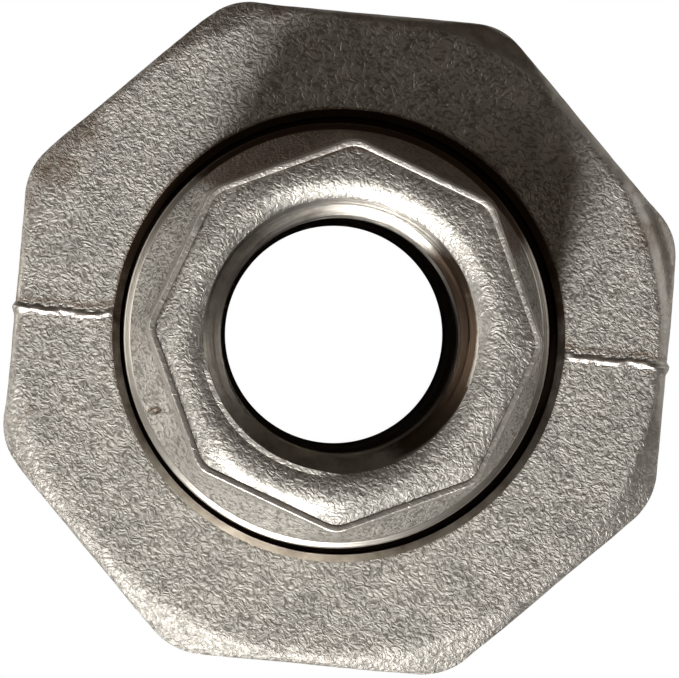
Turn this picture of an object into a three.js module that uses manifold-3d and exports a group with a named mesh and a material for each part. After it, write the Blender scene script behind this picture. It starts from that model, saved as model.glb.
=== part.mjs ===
// Pipe union for 1/2 in (DN 15) pipe, heavy pattern, in four pieces: a head with the union's male
// thread, a tail that swivels, the octagonal nut that draws the two together, and a flat ring gasket.
// Millimetres. The pipe's axis is +Z, the origin is the middle of the head's end face, and the tail's
// end face is uppermost. The pieces are shown with the nut tight.
import * as THREE from "three";
import { mergeVertices } from "three/addons/utils/BufferGeometryUtils.js";
import Module from "manifold-3d";

// Every thread has the standard 55 degree form.
const flankAngle = 27.5; // degrees, each side
const depthPerPitch = 0.6403;

// Pipe thread in both ends: parallel, 14 turns to the inch.
const pipeMajorDiameter = 20.955;
const pipePitch = 1.814;
const pipeThreadLength = 13;
const coreRelief = 0.3; // the cored passage is this much wider, in radius, than the thread's crests

// Hub: the wrench octagon round each pipe thread.
const hubWall = 3.47; // from the pipe thread's roots to the middle of a flat
const hubLength = 7.5; // along the flats
const hubDraft = 3; // degrees that the flats lean out towards the body
const hubCorner = 2; // corner radius
const endRise = 0.75; // the end face's ring stands this far above the octagon's rim
const ringWidth = 1.4; // flat top of that ring
const ringSlope = 1.0; // each side of the ring falls away over this width
const flareHeight = 2.9; // from the flats out to the round barrel

// Tail: barrel through the nut, and the collar that the nut pulls on.
const barrelWall = 7.22;
const barrelLength = 7.5;
const collarShoulder = 3.4;
const collarThickness = 4;

// Union thread between head and nut: parallel, 11 turns to the inch.
const unionPitch = 2.309;
const unionThreadLength = 9;

// Head: from its barrel out to the union thread.
const headBarrelLength = 2;
const headConeHeight = 4.2;
const headLandLength = 1.9; // plain round land below the thread

// Nut.
const nutWall = 3.9; // from the thread's roots to the middle of a flat
const nutLip = 5;
const nutSkirt = 15;
const nutCorner = 5; // corner radius
const nutReliefLength = 3.5; // groove between the thread and the lip
const cornerChamfer = 2.1; // how far the turned chamfer reaches in from the corners
const cornerChamferAngle = 30; // degrees
const holeChamfer = 0.6;
const nutAngle = -5.3; // degrees, how the tight nut happens to stand
const tailAngle = 19.6; // degrees, how the tail happens to stand

// Gasket.
const gasketThickness = 2;
const gasketInset = 1.2; // the ring stops this far inside the collar's rim

// Clearances.
const seatGap = 0.1; // each side of the gasket, and between the collar and the nut's lip
const barrelClearance = 0.58; // radial, barrel in the nut's hole
const collarClearance = 0.35; // radial, collar past the nut's thread
const threadClearance = 0.25; // radial, male to female

// Fineness of the round shapes.
const outerSegments = 36; // round the barrels, the collar and the union thread
const boreSegments = 24; // round the pipe thread and the cored passage
const cornerSegments = 3;
const coilBury = 0.2; // a thread's ridge starts this far below the surface that it joins
const runOut = 0.4; // turns over which a thread fades

// Radii and heights that follow.
const degrees = Math.PI / 180;
const flankRatio = Math.tan(flankAngle * degrees);
const pipeDepth = depthPerPitch * pipePitch;
const unionDepth = depthPerPitch * unionPitch;
const pipeMajor = pipeMajorDiameter / 2;
const pipeMinor = pipeMajor - pipeDepth;
const coreRadius = pipeMinor + coreRelief;
const hubApothem = pipeMajor + hubWall;
const barrelRadius = coreRadius + barrelWall;
const collarRadius = barrelRadius + collarShoulder;
const femaleMinor = collarRadius + collarClearance;
const femaleMajor = femaleMinor + unionDepth;
const maleMajor = femaleMajor - threadClearance;
const maleMinor = maleMajor - unionDepth;
const nutApothem = femaleMajor + nutWall;
const holeRadius = barrelRadius + barrelClearance;

const hubEnd = endRise + hubLength; // from an end face to the foot of its flats
const hubLean = Math.tan(hubDraft * degrees);
const hubBase = hubApothem + hubEnd * hubLean;
const barrelStart = hubEnd + flareHeight;
const coneStart = barrelStart + headBarrelLength;
const landStart = coneStart + headConeHeight;
const threadStart = landStart + headLandLength;
const headLength = threadStart + unionThreadLength;
const gasketBase = headLength + seatGap;
const tailSeat = gasketBase + gasketThickness + seatGap;
const tailLength = collarThickness + barrelLength + barrelStart;
const nutBase = tailSeat + collarThickness + seatGap - nutSkirt;
const nutHeight = nutSkirt + nutLip;

const wasm = await Module();
wasm.setup();

// A closed geometry as a solid that can be joined and cut.
function solid(geometry) {
  const bare = geometry.index ? geometry.toNonIndexed() : geometry.clone();
  bare.deleteAttribute("normal");
  bare.deleteAttribute("uv");
  const merged = mergeVertices(bare, 1e-4);
  const corners = merged.index.array;
  const faces = [];
  for (let i = 0; i < corners.length; i += 3) {
    const [a, b, c] = [corners[i], corners[i + 1], corners[i + 2]];
    if (a !== b && b !== c && c !== a) faces.push(a, b, c);
  }
  return new wasm.Manifold(
    new wasm.Mesh({
      numProp: 3,
      vertProperties: merged.attributes.position.array,
      triVerts: new Uint32Array(faces),
    }),
  );
}

// A solid turned about Z. The profile's [radius, height] points go anticlockwise, from the axis back
// to the axis, or round a ring.
function turned(profile, segments = outerSegments) {
  const points = profile.map(([radius, height]) => new THREE.Vector2(radius, height));
  if (profile[0][0] > 0) points.push(points[0].clone());
  return solid(new THREE.LatheGeometry(points, segments).rotateX(Math.PI / 2));
}

// A regular octagon with rounded corners and a flat facing +X, from one height to another. It has the
// given apothem at z = 0, and its flats lean out by `lean` for each unit of height.
function octagon(apothem, corner, bottom, top, lean = 0) {
  const outline = new THREE.Shape();
  const half = Math.PI / 8;
  const reach = (apothem - corner) / Math.cos(half);
  for (let i = 0; i < 8; i++) {
    const angle = (2 * i + 1) * half;
    const [x, y] = [reach * Math.cos(angle), reach * Math.sin(angle)];
    outline.absarc(x, y, corner, angle - half, angle + half);
  }
  const block = new THREE.ExtrudeGeometry(outline, {
    depth: top - bottom,
    bevelEnabled: false,
    curveSegments: cornerSegments,
  }).translate(0, 0, bottom);
  const place = block.attributes.position;
  for (let i = 0; i < place.count; i++) {
    const scale = 1 + (lean * place.getZ(i)) / apothem;
    place.setXY(i, place.getX(i) * scale, place.getY(i) * scale);
  }
  return solid(block);
}

// The ridge of a right-hand thread, from about `start` up to `end`, fading out at both ends. Its crest
// passes height `phase` where the helix crosses +X, and its steps stand over those of turned shapes.
function coil(crest, depth, pitch, start, end, phase, segments) {
  const root = crest - depth - coilBury;
  const crestHalf = pitch / 12;
  const rootHalf = crestHalf + (depth + coilBury) * flankRatio;
  const firstStep = Math.round(((start - phase) / pitch) * segments);
  const steps = Math.round(((end - start) / pitch) * segments);
  const fadeSteps = runOut * segments;
  const places = [];
  const faces = [];
  for (let i = 0; i <= steps; i++) {
    const fade = Math.min(1, (i + 0.5) / fadeSteps, (steps - i + 0.5) / fadeSteps);
    const top = root + (crest - root) * fade;
    const turn = (firstStep + i) / segments;
    const angle = 2 * Math.PI * turn;
    const height = phase + pitch * turn;
    const section = [[root, -rootHalf], [top, -crestHalf], [top, crestHalf], [root, rootHalf]];
    for (const [radius, offset] of section) {
      places.push(radius * Math.cos(angle), radius * Math.sin(angle), height + offset);
    }
  }
  for (let i = 0; i < steps; i++) {
    for (let j = 0; j < 4; j++) {
      const [a, b] = [4 * i + j, 4 * i + ((j + 1) % 4)];
      faces.push(a, b + 4, b, a, a + 4, b + 4);
    }
  }
  const last = 4 * steps;
  faces.push(0, 1, 2, 0, 2, 3, last, last + 2, last + 1, last, last + 3, last + 2);
  const ridge = new THREE.BufferGeometry();
  ridge.setAttribute("position", new THREE.Float32BufferAttribute(places, 3));
  return solid(ridge.setIndex(faces));
}

// What both castings have at their pipe end, with the end face at z = 0 and the body above it: the
// octagon under a rounded ring, flared out to the round barrel, which `body` carries on.
function pipeEnd(body) {
  const ringOuter = pipeMajor + ringSlope + ringWidth;
  const rim = ringOuter + ringSlope;
  const wide = 2 * barrelRadius;
  const inFlare = hubEnd + flareHeight / 2;
  const face = turned([
    [0, 0],
    [ringOuter, 0],
    [rim, endRise],
    [wide, endRise],
    [wide, inFlare],
    [0, inFlare],
  ]);
  const flats = octagon(hubApothem, hubCorner, 0, inFlare, hubLean);
  return flats.intersect(face).add(
    turned([
      [0, hubEnd],
      [hubBase, hubEnd],
      [barrelRadius, barrelStart],
      ...body,
    ]),
  );
}

// Cuts the pipe thread, its countersink and the cored passage out of a casting of a given length.
function bored(casting, length) {
  const past = 1;
  const mouth = pipeMajor + ringSlope;
  const profile = [
    [0, -past],
    [mouth + past, -past],
    [pipeMinor, mouth - pipeMinor],
    [pipeMinor, pipeThreadLength],
    [coreRadius, pipeThreadLength + coreRelief],
    [coreRadius, length + past],
    [0, length + past],
  ];
  const groove = coil(pipeMajor, pipeDepth, pipePitch, -past, pipeThreadLength, 0, boreSegments);
  return casting.subtract(turned(profile, boreSegments)).subtract(groove);
}

// Head: a hub below, and the male union thread above with its flat seat.
function headPiece() {
  const casting = pipeEnd([
    [barrelRadius, coneStart],
    [maleMinor, landStart],
    [maleMinor, headLength],
    [0, headLength],
  ]);
  const past = 1;
  const end = headLength + unionPitch;
  const ridge = coil(maleMajor, unionDepth, unionPitch, threadStart, end, 0, outerSegments);
  const trim = turned([
    [0, -past],
    [maleMajor + past, -past],
    [maleMajor + past, headLength - unionDepth - past],
    [maleMinor, headLength],
    [0, headLength],
  ]);
  return bored(casting.add(ridge).intersect(trim), headLength);
}

// Tail: made with its pipe end down, and turned over when it is placed.
function tailPiece() {
  const collarStart = tailLength - collarThickness;
  const casting = pipeEnd([
    [barrelRadius, collarStart],
    [collarRadius, collarStart],
    [collarRadius, tailLength],
    [0, tailLength],
  ]);
  return bored(casting, tailLength);
}

// Nut: its open end at z = 0 and its lip on top. Its thread is in step with the head's.
function unionNut() {
  const past = 1;
  const trimRadius = nutApothem / Math.cos(Math.PI / 8) - cornerChamfer;
  const drop = Math.tan(cornerChamferAngle * degrees);
  const wide = trimRadius + 2 * cornerChamfer;
  const trim = turned([
    [0, 0],
    [trimRadius, 0],
    [wide, (wide - trimRadius) * drop],
    [wide, nutHeight - (wide - trimRadius) * drop],
    [trimRadius, nutHeight],
    [0, nutHeight],
  ]);
  const reliefRadius = femaleMajor + threadClearance;
  const reliefStart = nutSkirt - nutReliefLength;
  const cavity = turned([
    [0, -past],
    [reliefRadius + past, -past],
    [femaleMinor, reliefRadius - femaleMinor],
    [femaleMinor, reliefStart],
    [reliefRadius, reliefStart],
    [reliefRadius, nutSkirt],
    [holeRadius, nutSkirt],
    [holeRadius, nutHeight - holeChamfer],
    [holeRadius + holeChamfer + past, nutHeight + past],
    [0, nutHeight + past],
  ]);
  const phase = (unionPitch * nutAngle) / 360 - nutBase;
  const end = reliefStart + past;
  const groove = coil(femaleMajor, unionDepth, unionPitch, -past, end, phase, outerSegments);
  const blank = octagon(nutApothem, nutCorner, 0, nutHeight);
  return blank.intersect(trim).subtract(cavity).subtract(groove);
}

// Gasket: a flat ring between the two seats.
function gasketRing() {
  const outer = collarRadius - gasketInset;
  const inner = coreRadius + gasketInset;
  return turned([
    [inner, 0],
    [outer, 0],
    [outer, gasketThickness],
    [inner, gasketThickness],
  ]);
}

// A named mesh from a solid.
function piece(name, body, colour, roughness, metalness) {
  const data = body.getMesh();
  const places = new Float32Array(data.numVert * 3);
  for (let i = 0; i < data.numVert; i++) {
    const at = i * data.numProp;
    places.set(data.vertProperties.subarray(at, at + 3), i * 3);
  }
  const geometry = new THREE.BufferGeometry()
    .setAttribute("position", new THREE.BufferAttribute(places, 3))
    .setIndex(new THREE.BufferAttribute(data.triVerts, 1));
  geometry.computeVertexNormals();
  const material = new THREE.MeshStandardMaterial({
    name,
    color: colour,
    roughness,
    metalness,
    flatShading: true,
  });
  const mesh = new THREE.Mesh(geometry, material);
  mesh.name = name;
  return mesh;
}

const head = piece("head_piece", headPiece(), "#9c968c", 0.5, 0.85);

const gasket = piece("gasket", gasketRing(), "#2a2724", 0.8, 0);
gasket.position.z = gasketBase;

const tail = piece("tail_piece", tailPiece(), "#a09a90", 0.5, 0.85);
tail.rotation.x = Math.PI;
const tailPlace = new THREE.Group();
tailPlace.add(tail);
tailPlace.position.z = tailSeat + tailLength;
tailPlace.rotation.z = tailAngle * degrees;

const nut = piece("union_nut", unionNut(), "#a29c91", 0.5, 0.85);
nut.position.z = nutBase;
nut.rotation.z = nutAngle * degrees;

const union = new THREE.Group();
union.name = "pipe_union";
union.add(head, gasket, tailPlace, nut);

export default union;
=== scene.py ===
"""Looks of a 1/2 in pipe union: three rough castings with turned faces, and a rubber gasket between them.

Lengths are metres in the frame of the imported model, whose axis is +Z.
"""

import math
from typing import NamedTuple

import bmesh
import bpy
import numpy as np
from bpy.props import FloatProperty, FloatVectorProperty, PointerProperty
from mathutils import Matrix, Vector, noise


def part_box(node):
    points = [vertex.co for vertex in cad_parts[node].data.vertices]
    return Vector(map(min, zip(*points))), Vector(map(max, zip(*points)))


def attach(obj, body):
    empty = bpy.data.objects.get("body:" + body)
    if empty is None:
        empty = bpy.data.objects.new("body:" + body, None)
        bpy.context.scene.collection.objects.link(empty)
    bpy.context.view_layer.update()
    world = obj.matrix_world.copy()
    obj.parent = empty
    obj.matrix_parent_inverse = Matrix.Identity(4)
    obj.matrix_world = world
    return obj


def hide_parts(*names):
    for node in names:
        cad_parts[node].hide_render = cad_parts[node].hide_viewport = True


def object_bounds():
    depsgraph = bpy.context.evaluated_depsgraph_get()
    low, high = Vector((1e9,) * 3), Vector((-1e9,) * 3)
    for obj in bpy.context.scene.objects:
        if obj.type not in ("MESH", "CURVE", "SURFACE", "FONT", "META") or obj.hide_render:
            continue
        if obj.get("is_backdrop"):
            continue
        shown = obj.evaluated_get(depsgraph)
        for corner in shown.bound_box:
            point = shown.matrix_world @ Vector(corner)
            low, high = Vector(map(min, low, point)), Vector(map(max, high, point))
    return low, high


bl_info = {
    "name": "Pipe union",
    "version": (1, 0, 0),
    "blender": (4, 5, 0),
    "location": "View3D > Sidebar > Pipe union",
    "description": "Builds the cast, turned and moulded surfaces of a pipe union round its frame",
    "category": "Add Mesh",
}

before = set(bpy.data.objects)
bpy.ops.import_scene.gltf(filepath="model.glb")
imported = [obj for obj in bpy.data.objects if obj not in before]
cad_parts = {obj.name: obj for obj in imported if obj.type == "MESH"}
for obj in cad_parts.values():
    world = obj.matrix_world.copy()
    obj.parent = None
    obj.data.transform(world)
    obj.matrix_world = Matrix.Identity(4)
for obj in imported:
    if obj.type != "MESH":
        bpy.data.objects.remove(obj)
CAD_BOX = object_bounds()

MM = 0.001
TURN = 2 * math.pi
HEAD_LOW, HEAD_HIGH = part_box("head_piece")
TAIL_LOW, TAIL_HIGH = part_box("tail_piece")
NUT_LOW, NUT_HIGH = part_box("union_nut")
GASKET_LOW, GASKET_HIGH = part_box("gasket")

CAST, TURNED = 0, 1  # a band's finish, which is its place in the piece's list of materials


def linear(colour):
    """An sRGB hex colour as linear red, green, blue and alpha."""
    channels = [int(colour[i : i + 2], 16) / 255 for i in (1, 3, 5)]
    return [c / 12.92 if c <= 0.04045 else ((c + 0.055) / 1.055) ** 2.4 for c in channels] + [1.0]


# ---------------------------------------------------------------- settings


class ThreadSizes(bpy.types.PropertyGroup):
    pipe_major: FloatProperty(
        name="Pipe thread radius",
        description="Radius at the roots of the pipe thread",
        default=10.4775 * MM,
        unit="LENGTH",
    )
    pipe_pitch: FloatProperty(
        name="Pipe thread pitch",
        description="14 turns to the inch",
        default=1.814 * MM,
        unit="LENGTH",
    )
    pipe_length: FloatProperty(
        name="Pipe thread length",
        description="Depth of the pipe thread from an end face",
        default=13 * MM,
        unit="LENGTH",
    )
    union_pitch: FloatProperty(
        name="Union thread pitch",
        description="11 turns to the inch",
        default=2.309 * MM,
        unit="LENGTH",
    )
    union_major: FloatProperty(
        name="Union thread radius",
        description="Radius at the roots of the nut's thread",
        default=22.064 * MM,
        unit="LENGTH",
    )
    union_length: FloatProperty(
        name="Union thread length",
        description="Length of the male thread on the head",
        default=9 * MM,
        unit="LENGTH",
    )
    clearance: FloatProperty(
        name="Thread clearance",
        description="Radial play between the two union threads",
        default=0.25 * MM,
        unit="LENGTH",
    )


class HubSizes(bpy.types.PropertyGroup):
    apothem: FloatProperty(
        name="Half across flats",
        description="From the axis to the middle of a flat, at the end face",
        default=13.9475 * MM,
        unit="LENGTH",
    )
    corner: FloatProperty(
        name="Corner radius",
        description="Radius of the octagon's upright corners",
        default=2 * MM,
        unit="LENGTH",
    )
    draft: FloatProperty(
        name="Draft",
        description="Lean of the flats, which lets the pattern out of the mould",
        default=math.radians(3),
        subtype="ANGLE",
    )
    foot: FloatProperty(
        name="Foot of the flats",
        description="From an end face to the foot of its flats",
        default=8.25 * MM,
        unit="LENGTH",
    )
    flare: FloatProperty(
        name="Flare height",
        description="From the foot of the flats to the round barrel",
        default=2.9 * MM,
        unit="LENGTH",
    )
    bead_radius: FloatProperty(
        name="Bead radius",
        description="From the axis to the crest of the end face's bead",
        default=12.3 * MM,
        unit="LENGTH",
    )
    lip_radius: FloatProperty(
        name="Lip radius",
        description="Where the countersink meets the bead",
        default=10.65 * MM,
        unit="LENGTH",
    )
    barrel: FloatProperty(
        name="Barrel radius",
        description="Radius of the turned barrel",
        default=16.836 * MM,
        unit="LENGTH",
    )
    collar: FloatProperty(
        name="Collar radius",
        description="Radius of the tail's collar",
        default=20.236 * MM,
        unit="LENGTH",
    )
    collar_thickness: FloatProperty(
        name="Collar thickness",
        description="From the tail's seat to the shoulder that the nut pulls on",
        default=4 * MM,
        unit="LENGTH",
    )
    cone: FloatProperty(
        name="Cone height",
        description="From the head's barrel to the root of its thread",
        default=4.2 * MM,
        unit="LENGTH",
    )
    tail_bearing: FloatProperty(
        name="Tail bearing",
        description="Direction of one of the tail's flats",
        default=math.radians(19.6),
        subtype="ANGLE",
    )
    slip: FloatProperty(
        name="Mould slip",
        description="How far the octagon sits off the bore's axis",
        default=0.36 * MM,
        unit="LENGTH",
    )
    barrel_slip: FloatProperty(
        name="Barrel slip",
        description="How far the turned barrel sits off the bore's axis",
        default=-0.216 * MM,
        unit="LENGTH",
    )
    passage: FloatProperty(
        name="Passage radius",
        description="Radius of the cored passage between the threads",
        default=9.616 * MM,
        unit="LENGTH",
    )


class NutSizes(bpy.types.PropertyGroup):
    apothem: FloatProperty(
        name="Half across flats",
        description="From the axis to the middle of a flat",
        default=25.964 * MM,
        unit="LENGTH",
    )
    corner: FloatProperty(
        name="Corner radius",
        description="Radius of the upright corners",
        default=5 * MM,
        unit="LENGTH",
    )
    hole: FloatProperty(
        name="Hole radius",
        description="Radius of the hole that the tail's barrel passes through",
        default=17.416 * MM,
        unit="LENGTH",
    )
    lip: FloatProperty(
        name="Lip thickness",
        description="Thickness of the lip that pulls on the tail's collar",
        default=5 * MM,
        unit="LENGTH",
    )
    relief: FloatProperty(
        name="Relief length",
        description="Groove between the thread and the lip",
        default=3.5 * MM,
        unit="LENGTH",
    )
    trim: FloatProperty(
        name="Corner trim",
        description="How far the turned chamfers cut the corners back at each face",
        default=1.75 * MM,
        unit="LENGTH",
    )
    chamfer: FloatProperty(
        name="Chamfer width",
        description="Width of the chamfer round the hole",
        default=0.6 * MM,
        unit="LENGTH",
    )
    chamfer_depth: FloatProperty(
        name="Chamfer depth",
        description="Depth of the chamfer round the hole",
        default=0.27 * MM,
        unit="LENGTH",
    )
    edge: FloatProperty(
        name="Edge rounding",
        description="Rounding of the cast edges between the flats and the faces",
        default=0.55 * MM,
        unit="LENGTH",
    )
    flat_errors: FloatVectorProperty(
        name="Flat errors",
        description="How far each cast flat stands outside its nominal place, from the one at the bearing",
        default=[error * MM for error in (0.3, -0.14, -0.2, 0.28, -0.12, 0.35, 0.35, 0.35)],
        size=8,
        unit="LENGTH",
    )
    flash_height: FloatProperty(
        name="Flash height",
        description="How far the fin at the mould's parting line stands up",
        default=0.2 * MM,
        unit="LENGTH",
    )
    flash_width: FloatProperty(
        name="Flash width",
        description="Width of that fin",
        default=0.95 * MM,
        unit="LENGTH",
    )
    bearing: FloatProperty(
        name="Bearing",
        description="Direction of the flat that the mould parts on, as the tight nut stands",
        default=math.radians(-5.3),
        subtype="ANGLE",
    )


class Finishes(bpy.types.PropertyGroup):
    iron: FloatVectorProperty(
        name="Iron",
        description="Colour of the shot-blasted iron skin",
        default=linear("#b3afa8"),
        subtype="COLOR",
        size=4,
    )
    # Dirt and painted shade in the creases between the pebbles
    crease: FloatVectorProperty(
        name="Creases",
        description="Colour of the dirt in the skin's creases",
        default=linear("#85817a"),
        subtype="COLOR",
        size=4,
    )
    # Also the colour of the painted shade on the cast skin: the tail's far flats and groove, beside the
    # nut's fins and along its edge
    stain_and_shade: FloatVectorProperty(
        name="Stain",
        description="Colour of oil and light rust in the recesses",
        default=linear("#6e5c4c"),
        subtype="COLOR",
        size=4,
    )
    # Also the colour of the painted shade on turned faces: the wall and chamfer of the nut's hole and the
    # tail's barrel in the gap
    oil: FloatVectorProperty(
        name="Dried oil",
        description="Colour of turned iron under dried cutting oil",
        default=linear("#4a3d32"),
        subtype="COLOR",
        size=4,
    )
    bright: FloatVectorProperty(
        name="Turned iron",
        description="Colour of freshly cut iron",
        default=linear("#b0aba2"),
        subtype="COLOR",
        size=4,
    )
    rubber: FloatVectorProperty(
        name="Rubber",
        description="Colour of the moulded gasket",
        default=linear("#2a2724"),
        subtype="COLOR",
        size=4,
    )
    grain: FloatProperty(
        name="Grain size",
        description="Mean width of the pebbles in the cast skin",
        default=0.36 * MM,
        unit="LENGTH",
    )
    grain_depth: FloatProperty(
        name="Grain depth",
        description="How deep the creases between the pebbles are",
        default=0.07 * MM,
        unit="LENGTH",
    )


class StageSettings(bpy.types.PropertyGroup):
    key_bearing: FloatProperty(
        name="Key bearing",
        description="Direction of the main light round the axis, from +X",
        default=math.radians(-109.5),
        subtype="ANGLE",
    )
    key_height: FloatProperty(
        name="Key height",
        description="Angle of the main light above the floor",
        default=math.radians(40),
        subtype="ANGLE",
    )
    key_power: FloatProperty(
        name="Key power",
        description="Power of the main light",
        default=5.7,
        unit="POWER",
    )
    lens: FloatProperty(
        name="Lens",
        description="Focal length of the camera, in millimetres",
        default=309.2,
        unit="CAMERA",
    )


# ---------------------------------------------------------------- sections and meshes


def ramp(value, start, end):
    """0 where a value is at the start or before it, 1 from the end on, and a straight line between."""
    return np.clip((value - start) / (end - start), 0, 1)


def wrapped(angle):
    """The same angle, between half a turn back and half a turn on."""
    return (angle + math.pi) % TURN - math.pi


def facing(angles, bearing, width):
    """1 for the columns within a width of a bearing, both in degrees, falling to 0 over the last 12."""
    return ramp(np.abs(np.degrees(wrapped(angles - math.radians(bearing)))), width, width - 12)[None, :]


class Corner(NamedTuple):
    """A corner of a section. Its finish is that of the band that leaves it."""

    radius: float
    height: float
    fillet: float = 0.0
    octagon: float = 0.0  # 0 is round, 1 follows the octagon
    finish: int = CAST
    rubbed: float = 0.0  # how smooth handling and tumbling have made it
    # How much stain lies here, and painted shade where a gap or the side away from the key light is darkened
    stain_and_shade: float = 0.0
    shift: float = 0.0  # how far the mould has slipped here, along X


class Band(NamedTuple):
    """Rows of a ring-shaped surface: radius and height by row and column, and the rest by row."""

    radius: np.ndarray
    height: np.ndarray
    finish: np.ndarray
    rubbed: np.ndarray
    stain_and_shade: np.ndarray
    shift: np.ndarray


def rounded_octagon(angles, apothem, corner):
    """Distance from the axis to a rounded octagon that has a flat facing angle 0."""
    half = TURN / 16
    bearing = np.abs((angles + half) % (2 * half) - half)
    flat = apothem / np.cos(bearing)
    reach = (apothem - corner) / math.cos(half)
    across = reach * np.sin(half - bearing)
    arc = reach * np.cos(half - bearing) + np.sqrt(np.maximum(corner**2 - across**2, 0))
    on_arc = np.tan(bearing) * apothem > (apothem - corner) * math.tan(half)
    return np.where(on_arc, arc, flat)


def fillet_points(before, at, after, radius, steps=6):
    """Points round the arc that replaces a corner of a section."""
    a = (before - at) / np.linalg.norm(before - at)
    b = (after - at) / np.linalg.norm(after - at)
    half = math.acos(max(-1.0, min(1.0, float(a @ b)))) / 2
    if radius <= 0 or half > math.radians(89):
        return [at]
    back = radius / math.tan(half)
    centre = at + (a + b) / np.linalg.norm(a + b) * radius / math.sin(half)
    first, last = at + a * back - centre, at + b * back - centre
    sweep = math.pi - 2 * half
    return [
        centre + (math.sin(sweep * (1 - t)) * first + math.sin(sweep * t) * last) / math.sin(sweep)
        for t in np.linspace(0, 1, steps)
    ]


def band(corners, angles, shape, step, last=None):
    """Rows along a section's corners, with arcs at the filleted ones and rows no more than a step apart.
    `last` is the corner after them, which a fillet at their end needs."""
    run = list(corners) + ([last] if last else [])
    points = [np.array([c.radius, c.height]) for c in run]
    rows = []
    for i, c in enumerate(run):
        if c is last:
            continue
        inside = 0 < i < len(run) - 1
        arc = fillet_points(points[i - 1], points[i], points[i + 1], c.fillet) if inside else [points[i]]
        if rows:
            start, before = rows[-1]
            count = max(1, math.ceil(np.linalg.norm(arc[0] - start) / step))
            for t in np.linspace(0, 1, count + 1)[1:-1]:
                mixed = [u + (v - u) * t for u, v in zip(before[3:], c[3:])]
                mixed[1] = before.finish
                rows.append((start + (arc[0] - start) * t, Corner(0, 0, 0, *mixed)))
        rows += [(point, c) for point in arc]
    radius = np.array([point[0] for point, _ in rows])[:, None]
    octagon = np.array([c.octagon for _, c in rows])[:, None]
    height = np.array([point[1] for point, _ in rows])[:, None]
    return Band(
        radius * (1 + octagon * (shape[None, :] - 1)),
        height + 0 * angles[None, :],
        np.array([c.finish for _, c in rows]),
        np.array([c.rubbed for _, c in rows]),
        np.array([c.stain_and_shade for _, c in rows]),
        np.array([c.shift for _, c in rows]),
    )


# Where a thread's rows lie in one pitch: the two edges of the crest and of the root, each rounded over
# two rows, and the middle of each flank.
EDGE_ROUND = 0.02
THREAD_ROWS = sorted(
    [0.25, 0.75] + [edge / 12 + side for edge in (1, 5, 7, 11) for side in (-EDGE_ROUND, EDGE_ROUND)]
)
DEPTH_PER_PITCH = 0.6403
WELD = 0.002 * MM  # points closer than this are one
SHARP = math.radians(38)  # faces that meet at more than this have a sharp edge between them


def thread_band(angles, low, high, pitch, phase, inner, cut=None, fade=(), rise=1):
    """Rows that climb with a right-hand thread between two heights, in order of height, or falling if rise
    is -1. `inner` is the radius at the crests of a female thread or the roots of a male one; both stand
    out by the thread's depth where the helix passes. `cut` limits the radius by height, and `fade` gives
    the heights from which and to which the thread dies out."""
    turns = angles / TURN
    first = math.floor((low - phase) / pitch) - 1
    last = math.ceil((high - phase) / pitch)
    places = [k + p for k in range(first, last + 1) for p in THREAD_ROWS]
    height = phase + pitch * (np.array(places)[:, None] + turns[None, :])
    height = np.clip(height, low, high)
    place = (height - phase) / pitch - turns[None, :]
    away = np.abs(place - np.round(place))
    swell = ramp(away, 5 / 12, 1 / 12)
    if fade:
        swell = swell * ramp(height, fade[1], fade[0])
    radius = inner + DEPTH_PER_PITCH * pitch * swell
    if cut:
        radius = cut(radius, height)
    count = len(places)
    none = np.zeros(count)
    made = Band(radius, height, np.full(count, TURNED), none, none + 0.1, none)
    return made if rise > 0 else Band(*(part[::-1] for part in made))


def joined(bands):
    """One band from several, in order."""
    return Band(*(np.concatenate(parts) for parts in zip(*bands)))


def columns(count, extra=()):
    """Angles of a ring's columns from 0 to a whole turn, both included, and some extra ones."""
    base = np.arange(count) * TURN / count
    fine = np.array([a % TURN for a in extra])
    closest = 0.002
    kept = [a for a in base if np.min(np.abs(wrapped(fine - a)), initial=TURN) > closest]
    return np.append(np.sort(np.concatenate([kept, fine])), TURN)


def skin_swell(places, amount):
    """Undulation of a cast surface at each place, in metres, scaled by amount."""
    slow, quick = 0.22 / MM, 1.1 / MM
    swell = np.zeros(len(places))
    for i in np.nonzero(amount > 0)[0]:
        p = Vector(places[i])
        swell[i] = 0.045 * noise.noise(p * slow) + 0.022 * noise.noise(p * quick)
    return swell * amount * MM


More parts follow.
